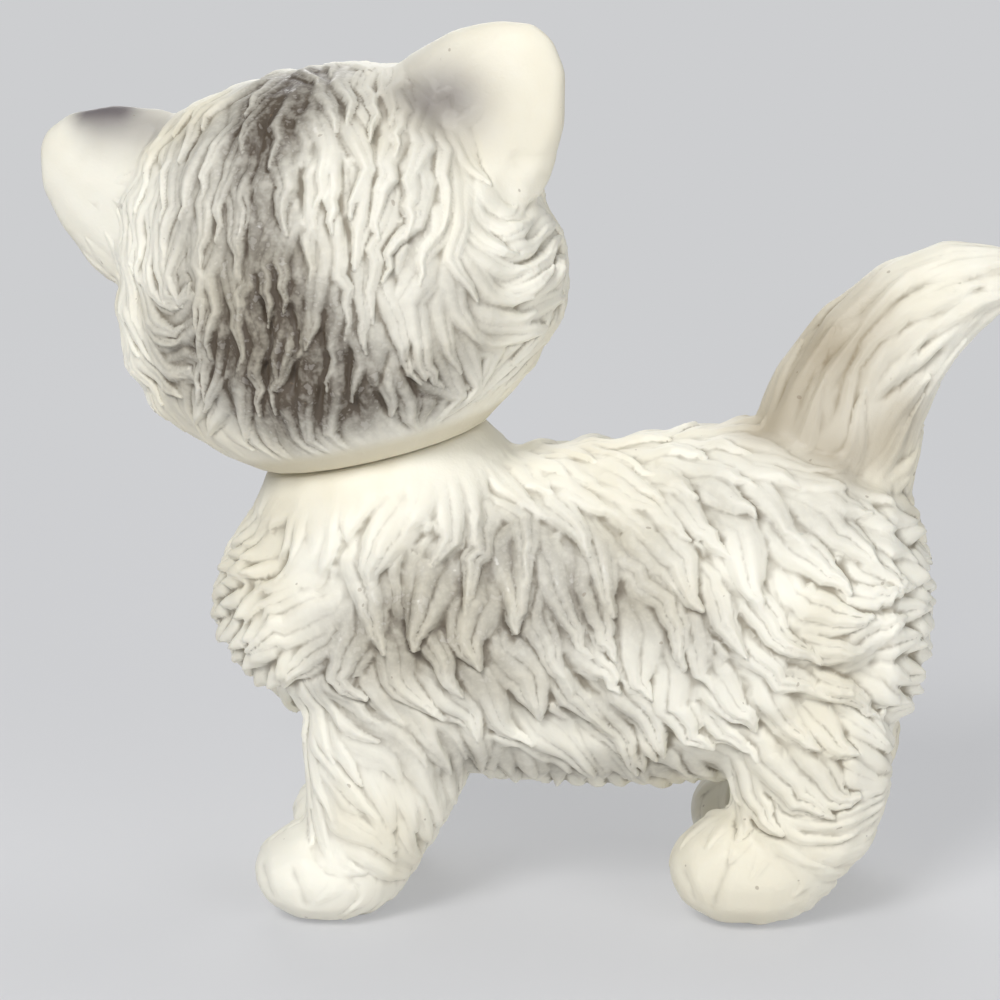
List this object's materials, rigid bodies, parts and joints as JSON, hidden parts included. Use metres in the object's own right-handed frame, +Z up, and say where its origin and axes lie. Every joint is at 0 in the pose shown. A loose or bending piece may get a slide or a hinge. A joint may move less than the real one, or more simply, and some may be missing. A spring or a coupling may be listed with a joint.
{
  "type": "swivel-head kitten figure",
  "caption": "Hollow soft-vinyl kitten standing with its tail up; the head turns on a snap-in neck plug and a reed squeaker sits in the belly.",
  "frame": {"origin": "on the floor, under the middle of the whole figure's length and width", "axes": "+Z up, the chest points to -X and the tail to +X; the body's left flank, which the picture shows, faces -Y"},
  "size_m": [0.2323, 0.0934, 0.2108],
  "materials": {
    "body_vinyl": "satin moulded vinyl with airbrushed grey",
    "head_vinyl": "satin moulded vinyl with airbrushed grey",
    "cup_metal": "drawn sheet, dulled",
    "reed_metal": "bright sheet",
    "cap_plastic": "plain moulded"
  },
  "bodies": {
    "body": {"body_shell": "body_vinyl", "squeaker_cup": "cup_metal", "squeaker_reed": "reed_metal", "squeaker_cap": "cap_plastic"},
    "head": {"head_shell": "head_vinyl"}
  },
  "joints": [
    {"name": "head_turn", "type": "hinge", "parent": "body", "child": "head", "pos_m": [-0.0354, -0.0028, 0.1109], "axis": [-0.2215, 0, 0.9751], "continuous": true}
  ]
}
